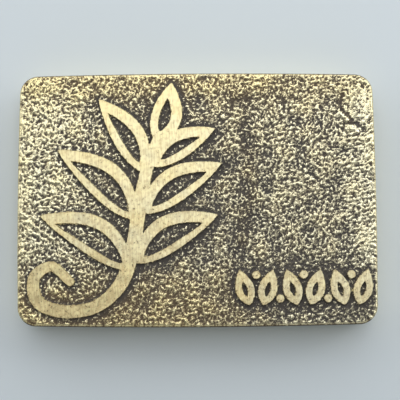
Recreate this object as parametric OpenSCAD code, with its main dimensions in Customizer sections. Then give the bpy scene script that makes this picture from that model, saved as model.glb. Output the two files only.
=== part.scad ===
// Cast brass paperweight: a solid block with a raised sprig and a border of buds on
// its face, and a felt pad bonded into a shallow recess in its underside.
// Origin at the centre of the pad's underside, +Z up, +X along the long sides.

/* [Casting] */
// Length of the block, along X
plate_w = 90; // [75:0.5:110]
// Depth of the block, along Y
plate_d = 64; // [52:0.5:80]
// Height of the block, from its rim to the ground of its face
block_h = 10; // [6:0.5:16]
// Radius of the upright corners, seen from above
corner_r = 4.5; // [2.5:0.25:10]
// How far each long side swells outward at its middle
long_side_bow = 0.6; // [0:0.1:1.5]
// How far each short side swells outward at its middle
short_side_bow = 0.4; // [0:0.1:1.5]
// Radius of the eased edge round the face and round the rim
edge_ease = 0.8; // [0.3:0.1:2]

/* [Underside] */
// Width of the brass rim around the recess
rim_w = 3; // [1.5:0.25:6]
// Radius of the felt pad's corners
pad_corner_r = 3; // [1:0.5:8]
// Gap between the pad and the recess wall
pad_gap = 0.3; // [0.1:0.05:1]
// How far the pad stands out below the rim
pad_proud = 1; // [0.3:0.1:1.2]
// Thickness of the felt
felt_t = 2; // [1.5:0.25:4]
// Thickness of the adhesive film that holds the felt
film_t = 0.2; // [0.1:0.05:0.4]

/* [Sprig] */
// Height of the raised strokes above the ground of the face
relief_h = 0.7; // [0.3:0.1:1.5]
// Distance from the sprig's field to the block's left, back and front sides
field_margin = 2.6; // [1.5:0.1:6]
// Width of the field that the sprig fills
field_w = 54; // [44:0.5:56]
// Width of the stem at its heaviest
stem_w = 3.4; // [2:0.1:4]
// Width of the broadest leaf
leaf_w = 9.5; // [7:0.25:12]
// Width of the line that draws a leaf
leaf_line_w = 2.3; // [1.5:0.1:2.8]

/* [Border] */
// Length of a bud from foot to tip
bud_l = 9; // [7:0.25:12]
// Width of a bud
bud_w = 4.6; // [4:0.1:6]
// Width of the line that draws a bud
bud_line_w = 1.6; // [1:0.1:1.8]
// How far each bud leans away from upright, in degrees
bud_lean = 16; // [0:1:25]
// Least gap between one bud and the next
bud_gap = 1.2; // [0.8:0.1:4]
// Diameter of the bead between two buds
bead_d = 1.9; // [1:0.1:2.2]
// Distance from the buds' feet to the block's front side
border_foot = 5.4; // [3:0.1:9]
// Distance from the last bud to the block's right side
border_end = 1.6; // [1.5:0.1:6]

/* [Hidden] */

// Heights of the faces that meet, from the pad's underside upward
rim_z = pad_proud;
recess_z = felt_t + film_t;
ground_z = rim_z + block_h;

// Inset of the recess wall and of the pad's edge from the block's sides
recess_inset = rim_w;
pad_inset = rim_w + pad_gap;

// Turn between the points of a corner, and the parts that a side is divided into
corner_step = 11.25;
side_parts = 10;
// Turn between the slices of an eased edge, and the thickness of one slice
ease_step = 22.5;
slice_t = 0.02;
// How deep the raised strokes are rooted in the slab
root_h = 0.5;
// Smallest corner radius that an inset outline keeps
least_r = 0.3;

// The sprig's field: lower left corner and depth
field_x = field_margin - plate_w / 2;
field_y = field_margin - plate_d / 2;
field_d = plate_d - 2 * field_margin;

// The stem from the curl at its foot to its tip: place in the field, share of stem_w
STEM = [
    [0.20, 0.150, 0.60], [0.115, 0.215, 0.70], [0.035, 0.165, 0.85], [0.055, 0.065, 0.90],
    [0.18, 0.025, 0.90], [0.33, 0.050, 0.90], [0.44, 0.150, 1.00], [0.49, 0.300, 1.00],
    [0.52, 0.470, 1.00], [0.555, 0.630, 0.85], [0.61, 0.770, 0.70]
];
// The leaves: foot and tip in the field, share of leaf_w, sideways bend as a share of length
LEAVES = [
    [[0.49, 0.20], [0.06, 0.43], 1.00, 0.09],
    [[0.51, 0.41], [0.14, 0.71], 1.00, 0.08],
    [[0.55, 0.61], [0.33, 0.93], 0.85, 0.06],
    [[0.49, 0.23], [0.88, 0.43], 0.95, -0.08],
    [[0.53, 0.44], [0.90, 0.65], 0.90, -0.07],
    [[0.57, 0.64], [0.87, 0.80], 0.75, -0.06],
    [[0.60, 0.74], [0.67, 1.00], 0.80, 0.05]
];
// Parts of the stem between two of its points, and the turn between the points of its round ends
stem_parts = 5;
end_step = 30;
// Points along one side of a leaf, and how blunt and how low its belly sits
leaf_parts = 16;
leaf_blunt = 0.85;
leaf_belly = 0.85;
// Share of the line's width that the opening keeps off a leaf's foot and off its ends
opening_foot = 1.25;
opening_ends = 3;

// The border: where its row of buds starts, how long it is and how many buds it takes
border_x = field_x + field_w - bud_w / 2;
border_l = plate_w / 2 - border_end - border_x;
bud_count = 1 + floor((border_l - bud_w) / (bud_w + bud_gap));
bud_step = (border_l - bud_w) / max(bud_count - 1, 1);
// How far a bead's edge and its centre lie inside the row's upper or lower limit
bead_margin = 0.6;
bead_inset = bead_d / 2 + bead_margin;

// A point moved inward as the swollen sides fall back towards the corners
function swell(p) = [
    p.x * (1 - 2 * short_side_bow / plate_w * pow(2 * p.y / plate_d, 2)),
    p.y * (1 - 2 * long_side_bow / plate_d * pow(2 * p.x / plate_w, 2))
];
// Points of a quarter circle, and the points that divide a straight stretch
function quarter(x, y, r, from) =
    [for (a = [from : corner_step : from + 90]) [x + r * cos(a), y + r * sin(a)]];
function between(a, b) = [for (i = [1 : side_parts - 1]) a + (b - a) * i / side_parts];
// The block's outline drawn inward by inset, with corners of radius r
function outline(inset, r) = let (
    x = plate_w / 2 - inset - r,
    y = plate_d / 2 - inset - r,
    arcs = [quarter(x, y, r, 0), quarter(-x, y, r, 90), quarter(-x, -y, r, 180), quarter(x, -y, r, 270)],
    last = len(arcs[0]) - 1
) [for (i = [0 : 3]) each [
    for (p = concat(arcs[i], between(arcs[i][last], arcs[(i + 1) % 4][0]))) swell(p)
]];

// A place in the sprig's field, from shares of its width and depth
function in_field(p) = [field_x + p.x * field_w, field_y + p.y * field_d];

// A smooth curve through points that carry their own width
function blend(a, b, c, d, t) = 0.5 * (2 * b + (c - a) * t
    + (2 * a - 5 * b + 4 * c - d) * t * t + (3 * b - a - 3 * c + d) * t * t * t);
function curve(p, parts) = [
    for (i = [0 : len(p) - 2]) for (k = [0 : parts - 1])
        blend(p[max(i - 1, 0)], p[i], p[i + 1], p[min(i + 2, len(p) - 1)], k / parts),
    p[len(p) - 1]
];
function heading(s, i) = let (a = s[max(i - 1, 0)], b = s[min(i + 1, len(s) - 1)])
    atan2(b.y - a.y, b.x - a.x);
function edge_point(s, i, turn) = [s[i].x, s[i].y]
    + s[i].z / 2 * [cos(heading(s, i) + turn), sin(heading(s, i) + turn)];
function round_end(s, i, from) =
    [for (a = [end_step : end_step : 180 - end_step]) edge_point(s, i, from - a)];
// The outline of a stroke that follows the curve with its changing width
function stroke(s) = concat(
    [for (i = [0 : len(s) - 1]) edge_point(s, i, 90)], round_end(s, len(s) - 1, 90),
    [for (i = [len(s) - 1 : -1 : 0]) edge_point(s, i, -90)], round_end(s, 0, -90)
);

// One side of a leaf that lies along X, from its foot to its tip
function leaf_side(l, w, bend, way) = [for (i = [0 : leaf_parts]) let (t = i / leaf_parts)
    [t * l, bend * sin(180 * t) + way * w / 2 * pow(sin(180 * pow(t, leaf_belly)), leaf_blunt)]];
function leaf_points(l, w, bend) = let (back = leaf_side(l, w, bend, -1))
    concat(leaf_side(l, w, bend, 1), [for (i = [leaf_parts - 1 : -1 : 1]) back[i]]);

module open_leaf(l, w, bend, line) {
    inner_l = l - opening_ends * line;
    difference() {
        polygon(leaf_points(l, w, bend));
        translate([opening_foot * line, 0])
            polygon(leaf_points(inner_l, w - 2 * line, bend * inner_l / l));
    }
}

module sprig() {
    stem = [for (p = STEM) [in_field(p).x, in_field(p).y, p.z * stem_w]];
    polygon(stroke(curve(stem, stem_parts)));
    for (leaf = LEAVES) {
        foot = in_field(leaf[0]);
        way = in_field(leaf[1]) - foot;
        translate(foot) rotate(atan2(way.y, way.x))
            open_leaf(norm(way), leaf[2] * leaf_w, -leaf[3] * norm(way), leaf_line_w);
    }
}

// Buds that lean left and right by turns, with a bead where two of them part
module border() {
    for (i = [0 : bud_count - 1]) {
        lean = i % 2 == 0 ? bud_lean : -bud_lean;
        bead_y = bud_l / 2 + (bud_l / 2 - bead_inset) * (i % 2 == 0 ? 1 : -1);
        translate([border_x + bud_w / 2 + i * bud_step, border_foot - plate_d / 2]) {
            translate([bud_l / 2 * sin(lean), 0]) rotate(90 + lean) open_leaf(bud_l, bud_w, 0, bud_line_w);
            if (i < bud_count - 1) translate([bud_step / 2, bead_y]) circle(d = bead_d, $fn = 24);
        }
    }
}

// One level of the slab: the outline drawn inward by inset, from z up to z + h
module level(inset, z, h) {
    translate([0, 0, z]) linear_extrude(h) polygon(outline(inset, max(corner_r - inset, least_r)));
}

// The block with its upper and lower edges rounded, as one convex solid
module slab() {
    hull() {
        level(0, rim_z + edge_ease, block_h - 2 * edge_ease);
        for (a = [ease_step : ease_step : 90]) {
            inset = edge_ease * (1 - cos(a));
            drop = edge_ease * (1 - sin(a));
            level(inset, rim_z + drop, slice_t);
            level(inset, ground_z - drop - slice_t, slice_t);
        }
    }
}

module pad_outline(inset) {
    polygon(outline(inset, pad_corner_r + pad_inset - inset));
}

module brass_casting() color([0.72, 0.63, 0.40]) {
    difference() {
        slab();
        linear_extrude(recess_z) pad_outline(recess_inset);
    }
    translate([0, 0, ground_z - root_h]) linear_extrude(root_h + relief_h) {
        sprig();
        border();
    }
}

module adhesive_film() color([0.90, 0.88, 0.80]) {
    translate([0, 0, felt_t]) linear_extrude(film_t) pad_outline(pad_inset);
}

module felt_pad() color([0.16, 0.22, 0.18]) {
    linear_extrude(felt_t) pad_outline(pad_inset);
}

brass_casting();
adhesive_film();
felt_pad();
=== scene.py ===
"""A cast brass paperweight with a felt pad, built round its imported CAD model.

The casting is one closed mesh. The edges of its raised strokes are read from the CAD casting, and
its stippled ground, rolled edge, linished sides, rim and recess are worked out here. Lengths are
in metres, except where a comment says millimetres.
"""

import math

import bpy
import numpy as np
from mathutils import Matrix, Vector


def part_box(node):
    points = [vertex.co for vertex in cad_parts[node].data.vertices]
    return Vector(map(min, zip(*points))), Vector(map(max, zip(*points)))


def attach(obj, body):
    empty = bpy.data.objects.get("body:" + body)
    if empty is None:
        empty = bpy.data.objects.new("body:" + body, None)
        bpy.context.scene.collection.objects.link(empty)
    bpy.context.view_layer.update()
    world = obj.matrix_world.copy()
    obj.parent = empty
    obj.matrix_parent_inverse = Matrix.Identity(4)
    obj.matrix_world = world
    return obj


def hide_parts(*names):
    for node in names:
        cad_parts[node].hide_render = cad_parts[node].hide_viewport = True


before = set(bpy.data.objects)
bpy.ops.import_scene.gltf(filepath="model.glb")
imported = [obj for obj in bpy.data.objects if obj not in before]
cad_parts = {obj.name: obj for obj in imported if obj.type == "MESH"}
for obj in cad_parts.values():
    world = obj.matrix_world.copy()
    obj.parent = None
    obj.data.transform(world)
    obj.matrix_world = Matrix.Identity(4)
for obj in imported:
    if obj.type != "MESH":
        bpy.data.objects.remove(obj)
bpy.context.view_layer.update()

MM = 0.001
# Keeps a division by a length of 0, or the logarithm of one, finite
TINY = 1e-18

# Sizes that the CAD model was drawn with
CORNER_R = 4.5 * MM
LONG_SIDE_BOW = 0.6 * MM
SHORT_SIDE_BOW = 0.4 * MM
EDGE_EASE = 0.8 * MM
PAD_CORNER_R = 3 * MM
PAD_GAP = 0.3 * MM
RELIEF_H = 0.7 * MM

# Places and sizes that come from the frame
casting_low, casting_high = (np.array(corner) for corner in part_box("brass_casting"))
pad_low, pad_high = (np.array(corner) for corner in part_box("felt_pad"))
HALF_W, HALF_D, RELIEF_Z = casting_high
GROUND_Z = RELIEF_Z - RELIEF_H
RIM_Z = casting_low[2]
RECESS_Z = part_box("adhesive_film")[1][2]
PAD_INSET = HALF_W - pad_high[0]
RECESS_INSET = PAD_INSET - PAD_GAP


# ---------------------------------------------------------------- camera, floor and lights

# The camera: its distance from the face, the width that it sees there, how far it is tipped from
# straight down and rolled, in degrees, and the place that it looks at
CAMERA_DISTANCE = 250 * MM
SEEN_WIDTH = 99.8 * MM
CAMERA_TIP, CAMERA_ROLL = 6, 0.4
CAMERA_TARGET = Vector((0.75 * MM, -0.45 * MM, RELIEF_Z))

# The studio's soft panels, all turned to the origin: place, width, depth, radiance and colour
DAYLIGHT, CARD_WHITE = (1.0, 1.0, 1.0), (1.0, 0.99, 0.96)
PANELS = {
    "window": ((0.05, 0.37, 0.28), 1.35, 0.4, 1.35, DAYLIGHT),
    "overhead": ((-0.04, 0.26, 0.93), 0.7, 0.5, 1.34, DAYLIGHT),
    "near panel": ((0.21, -0.07, 0.93), 0.32, 0.2, 1.3, DAYLIGHT),
    "left card": ((-0.58, 0.14, 0.30), 0.45, 0.4, 1.4, CARD_WHITE),
    "right card": ((0.58, 0.14, 0.30), 0.45, 0.4, 1.75, CARD_WHITE),
    "front card": ((0.0, -0.75, 0.50), 1.3, 0.6, 0.4, CARD_WHITE),
}
ROOM_COLOUR = (0.88, 0.94, 1.0, 1)
ROOM_STRENGTH = 0.12
FLOOR_HALF = 2


def aimed(obj, place, target):
    """Puts obj at place, looking along its -Z at target with +Y up in its picture."""
    obj.location = Vector(place)
    obj.rotation_euler = (Vector(target) - Vector(place)).to_track_quat("-Z", "Y").to_euler()
    bpy.context.collection.objects.link(obj)
    return obj


def make_camera():
    """A camera over the front half of the face, tipped so that it looks at the middle."""
    tip = math.radians(CAMERA_TIP)
    data = bpy.data.cameras.new("camera")
    data.sensor_width = 36
    data.lens = data.sensor_width * CAMERA_DISTANCE / SEEN_WIDTH
    data.clip_start = 0.01
    place = CAMERA_TARGET + CAMERA_DISTANCE * Vector((0, -math.sin(tip), math.cos(tip)))
    camera = aimed(bpy.data.objects.new("camera", data), place, CAMERA_TARGET)
    camera.rotation_euler.rotate_axis("Z", -math.radians(CAMERA_ROLL))
    bpy.context.scene.camera = camera


def make_lights():
    """A wide window behind the object, two panels overhead, a card at each side, a dim one in
    front and a dim room."""
    for name, (place, width, depth, radiance, colour) in PANELS.items():
        data = bpy.data.lights.new(name, "AREA")
        data.shape = "RECTANGLE"
        data.size, data.size_y = width, depth
        data.energy = radiance * math.pi * width * depth
        data.color = colour
        aimed(bpy.data.objects.new(name, data), place, (0, 0, 0))
    world = bpy.data.worlds.new("room")
    world.use_nodes = True
    background = world.node_tree.nodes["Background"]
    background.inputs["Color"].default_value = ROOM_COLOUR
    background.inputs["Strength"].default_value = ROOM_STRENGTH
    bpy.context.scene.world = world
    bpy.context.scene.view_settings.view_transform = "Standard"


# ---------------------------------------------------------------- materials


class Nodes:
    """A material's node tree, with short calls for the nodes that these materials use."""

    # A Mix node's sockets for A, for B and for its result, by its data type
    MIX_SOCKETS = {"FLOAT": (2, 3, 0), "RGBA": (6, 7, 2)}

    def __init__(self, name):
        self.material = bpy.data.materials.new(name)
        self.material.use_nodes = True
        self.tree = self.material.node_tree
        self.shader = self.tree.nodes["Principled BSDF"]
        self.place = self.tree.nodes.new("ShaderNodeTexCoord").outputs["Object"]

    def put(self, value, socket):
        """Links value to socket, or sets it there if it is a plain number or colour."""
        if isinstance(value, bpy.types.NodeSocket):
            self.tree.links.new(value, socket)
        else:
            socket.default_value = value

    def attribute(self, name):
        node = self.tree.nodes.new("ShaderNodeAttribute")
        node.attribute_name = name
        return node.outputs["Fac"]

    def noise(self, size, stretch=(1, 1, 1), detail=2.0, turn=0.0):
        """Noise about 0.5 whose lumps are about size metres across, times stretch along axes that
        are turned about Z by turn degrees."""
        mapping = self.tree.nodes.new("ShaderNodeMapping")
        mapping.vector_type = "TEXTURE"
        mapping.inputs["Rotation"].default_value = (0, 0, math.radians(turn))
        mapping.inputs["Scale"].default_value = [size * s for s in stretch]
        self.tree.links.new(self.place, mapping.inputs["Vector"])
        node = self.tree.nodes.new("ShaderNodeTexNoise")
        node.inputs["Scale"].default_value = 1
        node.inputs["Detail"].default_value = detail
        self.tree.links.new(mapping.outputs["Vector"], node.inputs["Vector"])
        return node.outputs["Fac"]

    def maths(self, operation, *values):
        node = self.tree.nodes.new("ShaderNodeMath")
        node.operation = operation
        for value, socket in zip(values, node.inputs, strict=False):
            self.put(value, socket)
        return node.outputs[0]

    def about(self, noise, share, level):
        """level, raised and lowered by share times what noise is above and below 0.5."""
        return self.maths("MULTIPLY_ADD", self.maths("SUBTRACT", noise, 0.5), share, level)

    def step(self, value, low, high):
        """0 below low, 1 above high and smooth between them."""
        node = self.tree.nodes.new("ShaderNodeMapRange")
        node.interpolation_type = "SMOOTHSTEP"
        for number, name in ((low, "From Min"), (high, "From Max")):
            self.put(number, node.inputs[name])
        self.put(value, node.inputs["Value"])
        return node.outputs["Result"]

    def mix(self, share, a, b):
        """a where share is 0 and b where it is 1, for two numbers or two colours."""
        node = self.tree.nodes.new("ShaderNodeMix")
        is_colour = isinstance(a, tuple) or getattr(a, "type", "") == "RGBA"
        node.data_type = "RGBA" if is_colour else "FLOAT"
        first, second, result = self.MIX_SOCKETS[node.data_type]
        for value, index in ((share, 0), (a, first), (b, second)):
            self.put(value, node.inputs[index])
        return node.outputs[result]

    def bump(self, height, distance, strength=1.0, below=None):
        """The normal over a relief of height, at most distance high, laid on the normal below."""
        node = self.tree.nodes.new("ShaderNodeBump")
        node.inputs["Distance"].default_value = distance
        self.put(strength, node.inputs["Strength"])
        self.tree.links.new(height, node.inputs["Height"])
        if below is not None:
            self.tree.links.new(below, node.inputs["Normal"])
        return node.outputs["Normal"]


def rgb(red, green, blue):
    return (red, green, blue, 1.0)


# How rubbed the strokes' tops are: 0 is all patina and 1 is bright brass
TOP_RUB = 1.20


def brass_material():
    """Brass that is bright where it is rubbed and where painted light falls, with brown-black
    patina in its pits and where shade is painted, fine lines along Y on the strokes' tops and
    lines round the linished sides."""
    n = Nodes("cast_brass")
    marks = ("rub_and_painted_light", "stroke", "side", "warm")
    rub_and_painted_light, stroke, side, warm = (n.attribute(name) for name in marks)
    worked = n.maths("MAXIMUM", stroke, side)
    grain = n.noise(0.36 * MM, detail=3.0)
    cloud = n.noise(5 * MM, detail=2.0)
    brushed = n.noise(0.28 * MM, stretch=(1, 12, 1), detail=4.0, turn=4)
    linished = n.noise(0.14 * MM, stretch=(24, 24, 1), detail=3.0)
    lines = n.mix(side, brushed, linished)

    # The rubbing with its painted light and shade, broken up by the grain and, on the sides, by the
    # lines
    broken = n.about(grain, n.mix(side, n.mix(stroke, 4.4, 3.0), 1.0), rub_and_painted_light)
    broken = n.about(lines, n.maths("MULTIPLY", side, 0.8), broken)
    bright = n.step(broken, 0.0, 0.98)
    # Dull to clean metal: on the ground by the rubbing and its painted light, on the tops by that
    # and the lines, and on the sides by the lines
    over_top = n.maths("SUBTRACT", rub_and_painted_light, TOP_RUB)
    polish_and_light = n.maths("MULTIPLY_ADD", over_top, n.maths("MULTIPLY", stroke, 0.5), lines)
    polish_and_light = n.step(polish_and_light, n.mix(side, 0.3, 0.0), n.mix(side, 0.7, 1.0))
    tone = n.mix(worked, n.step(broken, 0.5, 1.3), polish_and_light)

    dull = n.mix(warm, rgb(0.73, 0.66, 0.44), rgb(0.78, 0.63, 0.33))
    clean = n.mix(warm, rgb(0.97, 0.92, 0.66), rgb(0.98, 0.87, 0.48))
    black = n.mix(cloud, rgb(0.052, 0.046, 0.042), rgb(0.104, 0.092, 0.078))
    patina = n.mix(warm, black, rgb(0.145, 0.102, 0.055))
    n.put(n.mix(bright, patina, n.mix(tone, dull, clean)), n.shader.inputs["Base Color"])
    n.put(n.mix(bright, 0.35, 1.0), n.shader.inputs["Metallic"])
    gloss = n.mix(lines, n.mix(side, 0.30, 0.22), n.mix(side, 0.42, 0.34))
    n.put(n.mix(bright, 0.62, n.mix(worked, 0.26, gloss)), n.shader.inputs["Roughness"])
    scratches = n.bump(lines, 0.02 * MM, n.maths("MULTIPLY", worked, 0.6))
    normal = n.bump(grain, 0.08 * MM, n.mix(worked, 0.6, 0.05), scratches)
    n.put(normal, n.shader.inputs["Normal"])
    return n.material


def felt_material():
    """Pressed wool felt: short matted fibres that lie every way, lighter where they cross."""
    n = Nodes("wool_felt")
    turns = (10, 55, 100, 145)
    layers = [n.noise(0.11 * MM, stretch=(10, 1, 4), detail=1.0, turn=turn) for turn in turns]
    upper = n.maths("MAXIMUM", n.maths("MAXIMUM", *layers[:2]), n.maths("MAXIMUM", *layers[2:]))
    fibres = n.step(upper, 0.52, 0.78)
    cloud = n.noise(3 * MM)
    tone = n.mix(0.25, fibres, cloud)
    colour = n.mix(tone, rgb(0.008, 0.024, 0.015), rgb(0.045, 0.105, 0.068))
    n.put(colour, n.shader.inputs["Base Color"])
    n.shader.inputs["Roughness"].default_value = 0.95
    n.shader.inputs["Sheen Weight"].default_value = 0.4
    n.shader.inputs["Sheen Roughness"].default_value = 0.5
    n.put(n.bump(fibres, 0.10 * MM, 0.9), n.shader.inputs["Normal"])
    return n.material


def film_material():
    """Translucent double-sided film with the faint mottle of its adhesive."""
    n = Nodes("adhesive_film")
    mottle = n.noise(1.5 * MM, detail=4.0)
    colour = n.mix(mottle, rgb(0.66, 0.62, 0.50), rgb(0.80, 0.77, 0.66))
    n.put(colour, n.shader.inputs["Base Color"])
    n.put(n.mix(mottle, 0.25, 0.45), n.shader.inputs["Roughness"])
    n.put(n.bump(mottle, 0.02 * MM, 0.5), n.shader.inputs["Normal"])
    return n.material


def floor_material():
    """A plain pale floor with a faint cloud of tone."""
    n = Nodes("studio_floor")
    cloud = n.noise(60 * MM)
    colour = n.mix(cloud, rgb(0.70, 0.775, 0.82), rgb(0.73, 0.805, 0.85))
    n.put(colour, n.shader.inputs["Base Color"])
    n.shader.inputs["Roughness"].default_value = 0.6
    return n.material


# ---------------------------------------------------------------- plan of the block and meshes


def plan(u, v, inset, radius):
    """Places inside the block's outline drawn inward by inset, for u and v from -1 to 1. Its corners
    are round, its long and short sides swell, and it is reached where u or v is -1 or 1."""
    half = np.array([HALF_W - inset, HALF_D - inset])
    p = np.stack([u, v], -1) * half
    into = np.abs(p) - (half - radius)
    longest = np.hypot(into[..., 0], into[..., 1])
    in_corner = (into > 0).all(-1)
    scale = np.where(in_corner, into.max(-1) / np.maximum(longest, TINY), 1)[..., None]
    rounded = np.where(in_corner[..., None], np.sign(p) * (half - radius + into * scale), p)
    x, y = rounded[..., 0], rounded[..., 1]
    swollen_x = x * (1 - SHORT_SIDE_BOW / HALF_W * (y / HALF_D) ** 2)
    swollen_y = y * (1 - LONG_SIDE_BOW / HALF_D * (x / HALF_W) ** 2)
    return np.stack([swollen_x, swollen_y], -1)


def unit_grid(columns, rows):
    """u and v, from -1 to 1, of a grid's points in their order, in which v changes first."""
    u, v = np.meshgrid(np.linspace(-1, 1, columns + 1), np.linspace(-1, 1, rows + 1), indexing="ij")
    return u.reshape(-1), v.reshape(-1)


def grid_index(columns, rows):
    return np.arange((columns + 1) * (rows + 1)).reshape(columns + 1, rows + 1)


def border_of(columns, rows):
    """The numbers of a grid's border points, anticlockwise seen from above."""
    index = grid_index(columns, rows)
    return np.concatenate([index[:-1, 0], index[-1, :-1], index[:0:-1, -1], index[0, :0:-1]])


def grid_faces(columns, rows):
    index = grid_index(columns, rows)
    corners = [index[:-1, :-1], index[1:, :-1], index[1:, 1:], index[:-1, 1:]]
    return np.stack(corners, -1).reshape(-1, 4)


def strip_faces(upper, lower):
    """Faces between two rings of points, the upper one first."""
    return np.stack([upper, lower, np.roll(lower, -1), np.roll(upper, -1)], -1)


def split_along(faces, marked):
    """Four-sided faces, with those cut in two that have marked points at two opposite corners and
    nowhere else."""
    on = marked[faces]
    first = on[:, 0] & on[:, 2] & ~on[:, 1] & ~on[:, 3]
    second = on[:, 1] & on[:, 3] & ~on[:, 0] & ~on[:, 2]
    halves = [faces[first][:, [0, 1, 2]], faces[first][:, [0, 2, 3]]]
    halves += [faces[second][:, [1, 2, 3]], faces[second][:, [1, 3, 0]]]
    return [faces[~(first | second)], *halves]


class Skin:
    """A surface that starts as a grid and grows from the grid's border, ring by ring."""

    def __init__(self, places, heights, faces, border):
        self.points = [np.column_stack([places, heights])]
        self.faces = list(faces)
        self.ring = border
        self.total = len(places)

    def add_ring(self, places, height):
        self.points.append(np.column_stack([places, np.broadcast_to(height, len(places))]))
        new = np.arange(self.total, self.total + len(places))
        self.faces.append(strip_faces(self.ring, new))
        self.ring, self.total = new, self.total + len(places)


def mesh_object(name, points, faces, material, attributes=None, creased=None):
    """A smooth mesh from points and lists of faces, with a number for every point in each
    attribute, and with sharp edges between the creased points."""
    mesh = bpy.data.meshes.new(name)
    face_list = [face for group in faces for face in np.asarray(group).tolist()]
    mesh.from_pydata(points.tolist(), [], face_list)
    mesh.polygons.foreach_set("use_smooth", np.ones(len(mesh.polygons), bool))
    if creased is not None:
        ends = np.empty(len(mesh.edges) * 2, int)
        mesh.edges.foreach_get("vertices", ends)
        sharp = creased[ends.reshape(-1, 2)].all(1)
        mesh.attributes.new("sharp_edge", "BOOLEAN", "EDGE").data.foreach_set("value", sharp)
    for key, values in (attributes or {}).items():
        attribute = mesh.attributes.new(key, "FLOAT", "POINT")
        attribute.data.foreach_set("value", values.astype(np.float32))
    mesh.materials.append(material)
    mesh.validate()
    obj = bpy.data.objects.new(name, mesh)
    bpy.context.collection.objects.link(obj)
    return obj


# ---------------------------------------------------------------- random fields


class Field:
    """Seeded noise that varies by about 1 round 0, one value every STEP metres over a patch that
    is larger than the block and repeats."""

    STEP = 0.125 * MM
    MARGIN = 3 * MM

    def __init__(self, seed, wave, spread=0.3, stretch=(1, 1)):
        """Lumps that repeat about every wave metres, times stretch along X and Y. A larger spread
        lets in more sizes of lump."""
        size = [int(2 * (half + self.MARGIN) / self.STEP) for half in (HALF_W, HALF_D)]
        white = np.random.default_rng(seed).standard_normal(size)
        kx, ky = (np.fft.fftfreq(n, self.STEP) for n in size)
        k = np.hypot(kx[:, None] * stretch[0], ky[None, :] * stretch[1])
        band = np.exp(-((np.log(np.maximum(k, TINY) * wave) / spread) ** 2))
        values = np.fft.ifft2(np.fft.fft2(white) * band).real
        self.values = values / values.std()

    def at(self, places):
        x, y = places[..., 0] / self.STEP, places[..., 1] / self.STEP
        i, j = np.floor(x).astype(int), np.floor(y).astype(int)
        fx, fy = x - i, y - j
        columns, rows = self.values.shape
        left, right, near, far = i % columns, (i + 1) % columns, j % rows, (j + 1) % rows
        low = self.values[left, near] * (1 - fx) + self.values[right, near] * fx
        high = self.values[left, far] * (1 - fx) + self.values[right, far] * fx
        return low * (1 - fy) + high * fy


def smooth_step(value, low, high):
    """0 below low, 1 above high and smooth between them."""
    t = np.clip((value - low) / (high - low), 0, 1)
    return t * t * (3 - 2 * t)


# ---------------------------------------------------------------- raised strokes


def stroke_edges(mesh, height):
    """The edge lines of the CAD casting's raised strokes: the edges of its uppermost faces that
    only one of them has."""
    places = np.empty(len(mesh.vertices) * 3)
    mesh.vertices.foreach_get("co", places)
    places = places.reshape(-1, 3)
    tolerance, digits = 1e-6, 7
    count = {}
    for face in mesh.polygons:
        ring = [places[i] for i in face.vertices]
        if all(abs(p[2] - height) < tolerance for p in ring):
            keys = [tuple(np.round(p[:2], digits)) for p in ring]
            for a, b in zip(keys, keys[1:] + keys[:1], strict=True):
                key = (a, b) if a < b else (b, a)
                count[key] = count.get(key, 0) + 1
    return np.array([key for key, times in count.items() if times == 1])


def nearest_edge(places, edges, batch=3000):
    """For each place, its distance from the edge lines, below 0 inside the outlines that they
    make, and the nearest point of the lines."""
    a, b = edges[:, 0], edges[:, 1]
    along = b - a
    length2 = np.maximum((along**2).sum(-1), TINY)
    distance = np.empty(len(places))
    nearest = np.empty((len(places), 2))
    for start in range(0, len(places), batch):
        p = places[start : start + batch, None, :]
        t = np.clip(((p - a) * along).sum(-1) / length2, 0, 1)
        foot = a + t[..., None] * along
        gap = np.hypot(*np.moveaxis(p - foot, -1, 0))
        best = gap.argmin(1)
        rows = np.arange(len(best))
        crosses = (a[:, 1] > p[..., 1]) != (b[:, 1] > p[..., 1])
        rise = np.where(along[:, 1] == 0, 1, along[:, 1])
        hits = crosses & (p[..., 0] < a[:, 0] + (p[..., 1] - a[:, 1]) * along[:, 0] / rise)
        inside = hits.sum(1) % 2 == 1
        distance[start : start + batch] = np.where(inside, -1, 1) * gap[rows, best]
        nearest[start : start + batch] = foot[rows, best]
    return distance, nearest


# ---------------------------------------------------------------- face of the casting

# Distance between the points of the face
CELL = 0.275 * MM
# How far a stroke's edge strays from its line, the height of the waves in its top, and the most
# that they may be
RAGGED = 0.05 * MM
TOP_WAVE, TOP_WAVE_MOST = 0.012 * MM, 0.03 * MM
# Height of the ground's lumps above and below its level, and of its slow rise and fall
LUMP_H = 0.15 * MM
DRIFT_H = 0.05 * MM
# Depth of the hollow beside a stroke, its width, and the direction in which it is wider. Patina
# and a painted shadow darken it, and the painted shadow falls on that wider side
HOLLOW_DEPTH = 0.12 * MM
HOLLOW_W = 1.0 * MM
SHADOW_SIDE_WAY = np.array([0.8, -0.6])
# The fillet between a stroke and the ground, as a share of the stroke's height, and its width
FILLET_SHARE = 0.25
FILLET_W = 0.12 * MM
# Width of the slightly darker ground round a stroke
SHADE_W = 3.6 * MM
# A smoother patch of the ground, in millimetres: its middle and its half widths
PATCH_MIDDLE, PATCH_HALF = (41.5, 23.2), (3.6, 5.0)
# How rubbed the ground is at the middle of the face
GROUND_RUB = 0.37

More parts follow.
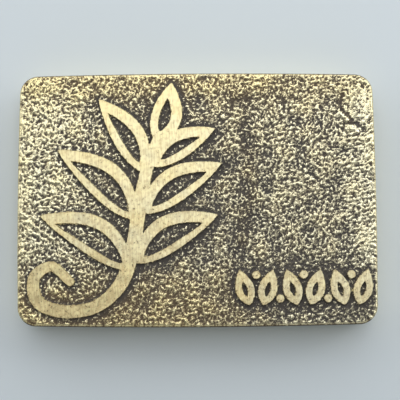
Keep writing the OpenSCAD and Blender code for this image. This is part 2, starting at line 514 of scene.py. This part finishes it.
# Flaws of the cast skin, in millimetres: the places that each one runs through, its half width,
# how far it stands up or is sunk, and how much more or less it is rubbed
FLAWS = [
    ([(35.9, 21.7), (36.7, 20.9), (37.8, 19.5)], 0.55, 0.22, 0.9),
    ([(38.7, 17.7), (39.4, 17.5), (39.8, 16.9)], 0.75, 0.28, 0.9),
    ([(36.8, 17.2), (37.4, 18.5), (39.1, 18.9), (41.0, 18.6), (42.4, 17.0)], 0.38, -0.16, -1.2),
    ([(39.1, 19.3), (37.9, 21.2), (36.4, 22.5), (36.3, 24.6), (37.2, 26.8)], 0.45, -0.16, -1.3),
    ([(-35.2, -4.3), (-33.6, -5.0), (-32.0, -6.2)], 0.28, -0.15, -1.2),
    ([(-32.4, -6.6), (-33.0, -8.2), (-33.2, -9.4)], 0.28, -0.15, -1.2),
    ([(-34.6, -5.6), (-33.4, -6.6)], 0.30, 0.12, 0.6),
    ([(-22.5, 28.2), (-23.6, 25.4), (-23.9, 23.5)], 0.45, 0.14, 0.7),
    ([(9.0, 24.2), (10.5, 25.2), (13.0, 25.4)], 1.30, -0.10, -0.7),
    ([(16.0, 26.0), (21.0, 25.2), (26.0, 25.6)], 0.60, -0.06, -0.4),
    ([(12.4, 20.0), (13.0, 8.0), (12.6, -4.0), (10.5, -12.0)], 2.20, -0.06, -0.45),
    ([(43.0, -8.5), (43.2, -15.5)], 1.60, 0.02, 0.35),
    ([(-41.0, -28.5), (-33.0, -30.0)], 1.70, 0.02, 0.40),
]


def flaws(places):
    """How far the flaws raise a place, and how much more or less rubbed they leave it."""
    raised = np.zeros(len(places))
    rub_and_painted_light = np.zeros(len(places))
    for line, half_width, height, rub in FLAWS:
        line = np.array(line) * MM
        gap, _ = nearest_edge(places, np.stack([line[:-1], line[1:]], 1))
        share = np.exp(-((gap / (half_width * MM)) ** 2))
        raised += height * MM * share
        rub_and_painted_light += rub * share
    return raised, rub_and_painted_light


def ground_texture(places):
    """The casting's stipple, a number that varies by about 1 round 0: lumps that are drawn out now
    along X, now along Y."""
    even = Field(11, 1.7 * MM, 1.1)
    flat = Field(12, 1.6 * MM, 1.0, (1.3, 0.85))
    tall = Field(13, 1.6 * MM, 1.0, (0.85, 1.3))
    sway = Field(14, 16 * MM, 0.5).at(places)
    share_flat = smooth_step(sway, 0.1, 0.9)
    share_tall = smooth_step(-sway, 0.1, 0.9)
    share_even = 1 - share_flat - share_tall
    mixed = share_flat * flat.at(places) + share_tall * tall.at(places)
    mixed = mixed + share_even * even.at(places)
    return mixed / np.sqrt(share_flat**2 + share_tall**2 + share_even**2)


def wear_and_painted_falloff(places):
    """How much more or less the wheel has rubbed a place than the middle of the face: most along
    the left side and at the right edge, least at the foot of the face; with painted light added that
    makes the face a little brighter towards the back."""
    x, y = places[:, 0] / HALF_W, places[:, 1] / HALF_D
    left = smooth_step(-x, 0.35, 0.85) * smooth_step(y, -1.2, -0.3)
    left = left * (1 - 0.6 * smooth_step(y, 0.5, 0.95))
    right = smooth_step(x, 0.75, 0.96) * smooth_step(y, -1.0, -0.4)
    # The last term is painted light, a little brighter towards the back
    return 0.58 * left + 0.42 * right + 0.05 * y


def warmth(places):
    """How brown the tarnish makes a place: most along the back and at the front left, least at the
    front right."""
    x, y = places[:, 0] / HALF_W, places[:, 1] / HALF_D
    back = smooth_step(y, 0.6, 1.0) * (1 - 0.35 * smooth_step(x, 0.2, 0.9))
    front = smooth_step(-y, 0.4, 0.85) * smooth_step(-x, -0.6, 0.1)
    return 0.20 + 0.10 * y - 0.12 * x + 0.65 * back + 0.75 * front


def face_detail(places, distance, nearest, on_edge, faces_right):
    """Of the points of the face: their heights, how rubbed and how warm they are, with painted light
    and shade added to both, which of them lie on a stroke, the ground's stipple and the height of
    its lumps."""
    raised = (distance < 0) | on_edge
    lumps = ground_texture(places)
    drift = Field(21, 9 * MM, 0.6).at(places)
    from_side = np.minimum(HALF_W - np.abs(places[:, 0]), HALF_D - np.abs(places[:, 1]))
    from_stroke = np.maximum(distance, 0)
    away = (places - nearest) / np.maximum(from_stroke, TINY)[:, None]
    shadow_side = (away @ SHADOW_SIDE_WAY).clip(0, 1)
    # The hollow, with the patina and the painted shadow in it, is wider on the side where the
    # painted shadow falls
    hollow_w = HOLLOW_W * (1.0 + 0.6 * shadow_side + 0.3 * drift.clip(-1.5, 2))
    hollow_and_shade = np.exp(-((from_stroke / hollow_w) ** 2))
    shade = np.exp(-((from_stroke / SHADE_W) ** 2))
    rim = 1 - smooth_step(from_side, 0.7 * MM, 1.6 * MM)
    from_patch = (places / MM - PATCH_MIDDLE) / PATCH_HALF
    patch = smooth_step(1 - np.hypot(from_patch[:, 0], from_patch[:, 1]), 0, 0.35)
    lump_h = LUMP_H * (1 - 0.45 * hollow_and_shade) * (1 - 0.3 * rim) * (1 - 0.6 * patch)

    flaw_h, flaw_rub = flaws(places)
    ground = GROUND_Z + lump_h * np.tanh(1.2 * lumps)
    ground = ground - HOLLOW_DEPTH * hollow_and_shade + DRIFT_H * drift + flaw_h
    fillet = FILLET_SHARE * RELIEF_H * np.exp(-from_stroke / FILLET_W)
    waves = TOP_WAVE * Field(22, 5 * MM, 0.5).at(places)
    top = RELIEF_Z - TOP_WAVE_MOST + waves.clip(-TOP_WAVE_MOST, TOP_WAVE_MOST)
    z = np.where(raised, top, ground + fillet)

    gain = wear_and_painted_falloff(places)
    contrast = 0.60 + 0.50 * gain - 0.22 * patch - 0.2 * rim
    # Beside a stroke the ground is darker: patina in the hollow and a painted shadow
    rub_and_painted_light = GROUND_RUB + contrast * lumps + 0.12 * drift - 0.85 * hollow_and_shade - 0.25 * shade
    # gain adds the wheel's rubbing and a painted light that is brighter towards the back
    rub_and_painted_light = rub_and_painted_light + 0.25 * rim + 0.2 * patch + (gain + flaw_rub)
    # The tops' rubbing varies at random, and painted light makes them brighter towards the back
    tops = TOP_RUB + 0.16 * Field(23, 1.8 * MM, 0.8).at(places) + 0.20 * places[:, 1] / HALF_D
    # A stroke's edge has a painted highlight where it faces right and a little painted shade
    # elsewhere
    tops += (0.45 * faces_right.clip(0, 1) - 0.1) * on_edge
    rub_and_painted_light = np.where(raised, tops, rub_and_painted_light)
    # Beside a stroke the ground's patina is less brown and so darker, as part of the painted shadow
    warm = (warmth(places) + 0.45 * raised - 0.8 * hollow_and_shade * ~raised + 0.12 * drift).clip(0, 1)
    return z, rub_and_painted_light, warm, raised, lumps, lump_h


# ---------------------------------------------------------------- the whole casting

# The parts that the mesh has from the face to the side, down the side, and from there to the rim
ROLLED_PARTS, SIDE_PARTS, FOOT_PARTS = 5, 6, 3
# Half the depth to which the linished sides are uneven
SIDE_WAVE = 0.03 * MM


def casting_mesh(material):
    """The casting: its face on a grid, then rings over the rolled edge, down the side, round the
    rim and into the recess."""
    columns = round(2 * (HALF_W - EDGE_EASE) / CELL)
    rows = round(2 * (HALF_D - EDGE_EASE) / CELL)
    u, v = unit_grid(columns, rows)
    places = plan(u, v, EDGE_EASE, CORNER_R - EDGE_EASE)
    edges = stroke_edges(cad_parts["brass_casting"].data, RELIEF_Z)
    distance, nearest = nearest_edge(places, edges)
    faces_right = np.gradient(distance.reshape(columns + 1, rows + 1))[0].reshape(-1) / CELL
    # The points beside a stroke's edge move onto it, and along it the mesh has a sharp crease
    on_edge = np.abs(distance) < 0.5 * CELL
    strays = [Field(seed, 0.9 * MM, 0.5).at(nearest[on_edge]) for seed in (51, 52)]
    places[on_edge] = nearest[on_edge] + RAGGED * np.stack(strays, -1)
    z, rub_and_painted_light, warm, raised, lumps, lump_h = face_detail(
        places, distance, nearest, on_edge, faces_right
    )

    border = border_of(columns, rows)
    skin = Skin(places, z, split_along(grid_faces(columns, rows), on_edge), border)
    marks = {
        "rub_and_painted_light": [rub_and_painted_light],
        "stroke": [raised.astype(float)],
        "side": [np.zeros(len(places))],
        "warm": [warm],
    }
    border_lumps, border_warm = lumps[border], warm[border]

    def add_ring(inset, radius, height, rub, side, wobble=0.0):
        """A ring on the outline drawn inward by inset. It is moved outward by wobble."""
        xy = plan(u[border], v[border], inset, radius)
        outward = xy / np.hypot(xy[:, 0], xy[:, 1])[:, None]
        skin.add_ring(xy + outward * np.reshape(wobble, (-1, 1)), height)
        ring_warm = border_warm + (0.95 - border_warm) * side
        values = {"rub_and_painted_light": rub, "stroke": 0.0, "side": side, "warm": ring_warm}
        for key, value in values.items():
            marks[key].append(np.broadcast_to(value, len(xy)))

    # The rolled edge, where the long sides get a line of painted shade
    long_side_shade = np.abs(places[border, 1])
    long_side_shade = smooth_step(long_side_shade, HALF_D - 4.4 * MM, HALF_D - 0.9 * MM)
    long_side_shade = long_side_shade * (0.95 + 0.2 * Field(32, 3 * MM, 0.8).at(places[border]))
    for step in range(1, ROLLED_PARTS + 1):
        angle = math.radians(90 * step / ROLLED_PARTS)
        inset = EDGE_EASE * (1 - math.sin(angle))
        fade = 1 - step / ROLLED_PARTS
        height = GROUND_Z - EDGE_EASE * (1 - math.cos(angle))
        height = height + fade * lump_h[border] * border_lumps
        rub = 0.85 + 0.55 * fade * border_lumps - 1.4 * long_side_shade * (step > 2)
        add_ring(inset, CORNER_R - inset, height, rub, 1 - fade)
    # The side
    side_top, side_foot = GROUND_Z - EDGE_EASE, RIM_Z + EDGE_EASE
    waves = Field(31, 7 * MM, 0.5)
    for row in range(1, SIDE_PARTS):
        height = side_top + (side_foot - side_top) * row / SIDE_PARTS
        around = np.column_stack([u[border] * HALF_W, v[border] * HALF_D + height * 3])
        wobble = -SIDE_WAVE * (1 + np.tanh(waves.at(around)))
        # The long sides are a little darker down the side too: painted shade
        add_ring(0, CORNER_R, height, 1.30 - 0.20 * long_side_shade, 1.0, wobble)
    # The lower edge, the rim and the recess
    for step in range(FOOT_PARTS + 1):
        angle = math.radians(90 * step / FOOT_PARTS)
        inset = EDGE_EASE * (1 - math.cos(angle))
        height = RIM_Z + EDGE_EASE * (1 - math.sin(angle))
        add_ring(inset, CORNER_R - inset, height, 1.0, 1.0)
    recess_r = PAD_CORNER_R + PAD_GAP
    add_ring(RECESS_INSET, recess_r, RIM_Z, 0.9, 0.0)
    add_ring(RECESS_INSET, recess_r, RECESS_Z, 0.0, 0.0)
    skin.faces.append([skin.ring[::-1].tolist()])

    attributes = {key: np.concatenate(values) for key, values in marks.items()}
    creased = np.concatenate([on_edge, np.zeros(skin.total - len(places), bool)])
    points = np.concatenate(skin.points)
    return mesh_object("casting", points, skin.faces, material, attributes, creased)


# ---------------------------------------------------------------- felt pad

# Distance between the points of the felt's faces, how far these lie inside its box, and how far
# they are uneven
FELT_CELL = 0.8 * MM
FELT_INSIDE = 0.02 * MM
FELT_UNEVEN = 0.02 * MM
# How far the felt's upper and lower faces stop short of its cut edge
FELT_SOFT = 0.25 * MM
# The cut edge: how far down each ring lies, as a share of the thickness, and its inset
FELT_EDGE = ((0.06, 0.06 * MM), (0.3, 0.02 * MM), (0.6, 0.03 * MM), (0.9, 0.08 * MM))


def felt_mesh(material):
    """The pad: two slightly uneven faces joined by a soft, cut edge."""
    columns, rows = (round(2 * (half - PAD_INSET) / FELT_CELL) for half in (HALF_W, HALF_D))
    u, v = unit_grid(columns, rows)
    places = plan(u, v, PAD_INSET + FELT_SOFT, PAD_CORNER_R - FELT_SOFT)
    unevenness = FELT_UNEVEN * np.tanh(Field(41, 1.7 * MM, 0.5).at(places))
    faces, border = grid_faces(columns, rows), border_of(columns, rows)
    skin = Skin(places, pad_high[2] - FELT_INSIDE + unevenness, [faces], border)
    for share, inset in FELT_EDGE:
        xy = plan(u[border], v[border], PAD_INSET + inset, PAD_CORNER_R)
        skin.add_ring(xy, pad_high[2] + (pad_low[2] - pad_high[2]) * share)
    skin.points.append(np.column_stack([places, pad_low[2] + FELT_INSIDE + unevenness]))
    skin.faces.append(strip_faces(skin.ring, border + skin.total))
    skin.faces.append(faces[:, ::-1] + skin.total)
    return mesh_object("felt", np.concatenate(skin.points), skin.faces, material)


# ---------------------------------------------------------------- the scene


make_camera()
make_lights()

corners = np.array([[-1, -1, 0], [1, -1, 0], [1, 1, 0], [-1, 1, 0]], float)
floor = mesh_object("floor", FLOOR_HALF * corners, [[[0, 1, 2, 3]]], floor_material())

casting = casting_mesh(brass_material())
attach(casting, "root")
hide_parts("brass_casting")

felt = felt_mesh(felt_material())
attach(felt, "root")
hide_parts("felt_pad")

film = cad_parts["adhesive_film"]
film.data.materials.clear()
film.data.materials.append(film_material())
